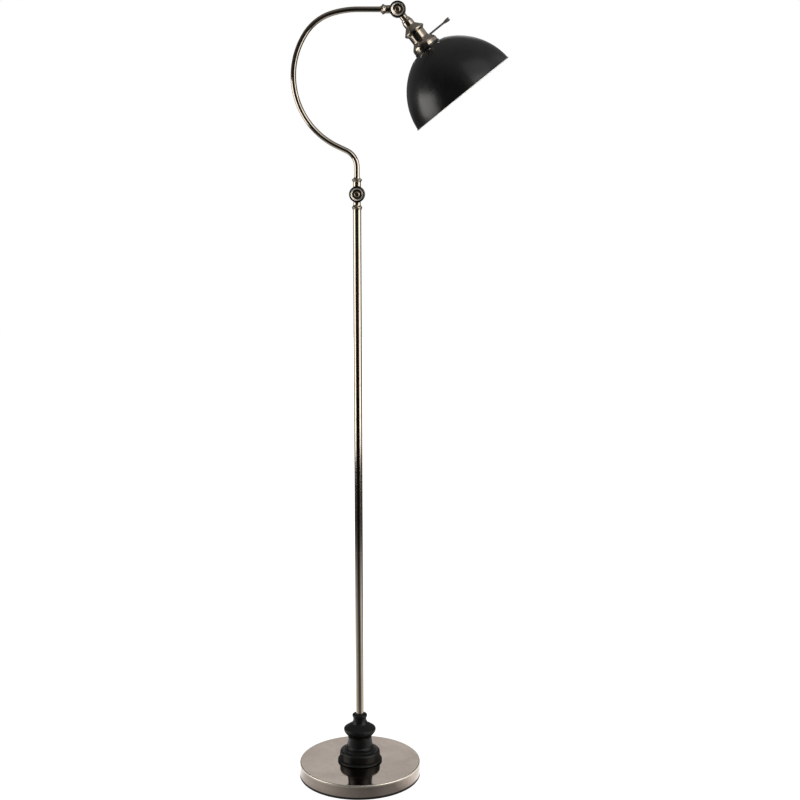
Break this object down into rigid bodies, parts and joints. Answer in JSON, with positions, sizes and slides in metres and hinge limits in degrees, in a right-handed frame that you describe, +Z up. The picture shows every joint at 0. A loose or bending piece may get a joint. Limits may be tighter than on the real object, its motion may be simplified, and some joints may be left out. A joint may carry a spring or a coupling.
{
  "type": "bridge floor lamp",
  "caption": "Floor lamp with a round weighted base, a turned black spindle, a straight stem, a hooked arm on a tilting knuckle and a tilting black dome shade.",
  "frame": {"origin": "centre of the base's underside, on the floor", "axes": "+Z up along the stem; +X towards the side the shade hangs on; -Y towards the viewer in the picture"},
  "size_m": [0.4161, 0.2522, 1.558],
  "materials": {
    "antique_brass": "brushed antique, lacquered",
    "pivot_brass": "turned, antique",
    "bright_brass": "pressed sheet, bright",
    "black_paint": "satin black",
    "shade_paint": "matte black outside, white inside",
    "zinc_steel": "zinc plated",
    "cast_iron": "raw casting",
    "pad_rubber": "matte",
    "black_bushing": "satin moulded",
    "lampholder_black": "moulded phenolic",
    "switch_black": "moulded phenolic",
    "fibre": "vulcanised fibre",
    "wire_insulation": "insulated wire"
  },
  "bodies": {
    "base": {"base_pad": "pad_rubber", "base_weight": "cast_iron", "base_cover": "antique_brass", "cord_bushing": "black_bushing", "base_washer": "zinc_steel", "base_nut": "zinc_steel", "lamp_pipe": "zinc_steel", "spindle_foot": "black_paint", "spindle_vase": "black_paint", "spindle_collar": "black_paint", "stem_plug": "zinc_steel", "stem_lower": "antique_brass", "stem_coupler_lower": "zinc_steel", "stem_middle": "antique_brass", "stem_coupler_upper": "zinc_steel", "stem_upper": "antique_brass", "stem_collar": "antique_brass", "stem_knuckle_front": "antique_brass", "stem_friction_disc": "fibre", "stem_pivot_screw": "pivot_brass", "stem_spring_washer": "zinc_steel", "stem_pivot_nut": "pivot_brass", "stem_lead": "wire_insulation"},
    "arm": {"stem_knuckle_rear": "antique_brass", "arm_collar_lower": "antique_brass", "arm_tube": "antique_brass", "arm_collar_upper": "antique_brass", "head_knuckle_rear": "antique_brass", "arm_lead": "wire_insulation"},
    "head": {"head_knuckle_front": "antique_brass", "head_friction_disc": "fibre", "head_pivot_screw": "pivot_brass", "head_spring_washer": "zinc_steel", "head_pivot_nut": "pivot_brass", "socket_cap": "antique_brass", "socket_cup": "antique_brass", "cup_nut": "zinc_steel", "shade_holder": "antique_brass", "lampholder": "lampholder_black", "terminal_screws": "bright_brass", "screw_shell": "bright_brass", "centre_contact": "bright_brass", "shade_ring": "lampholder_black", "shade": "shade_paint", "head_lead": "wire_insulation"},
    "switch": {"switch_rod": "switch_black", "switch_knob": "switch_black"}
  },
  "joints": [
    {"name": "stem_tilt", "type": "hinge", "parent": "base", "child": "arm", "pos_m": [0, 0, 1.195], "axis": [0, 1, 0], "range_deg": [-75, 75]},
    {"name": "head_tilt", "type": "hinge", "parent": "arm", "child": "head", "pos_m": [0.07883, 0, 1.54245], "axis": [0, 1, 0], "range_deg": [-90, 50]},
    {"name": "switch_turn", "type": "hinge", "parent": "head", "child": "switch", "pos_m": [0.1248, 0, 1.48445], "axis": [0.7837, 0, 0.6211], "continuous": true}
  ]
}
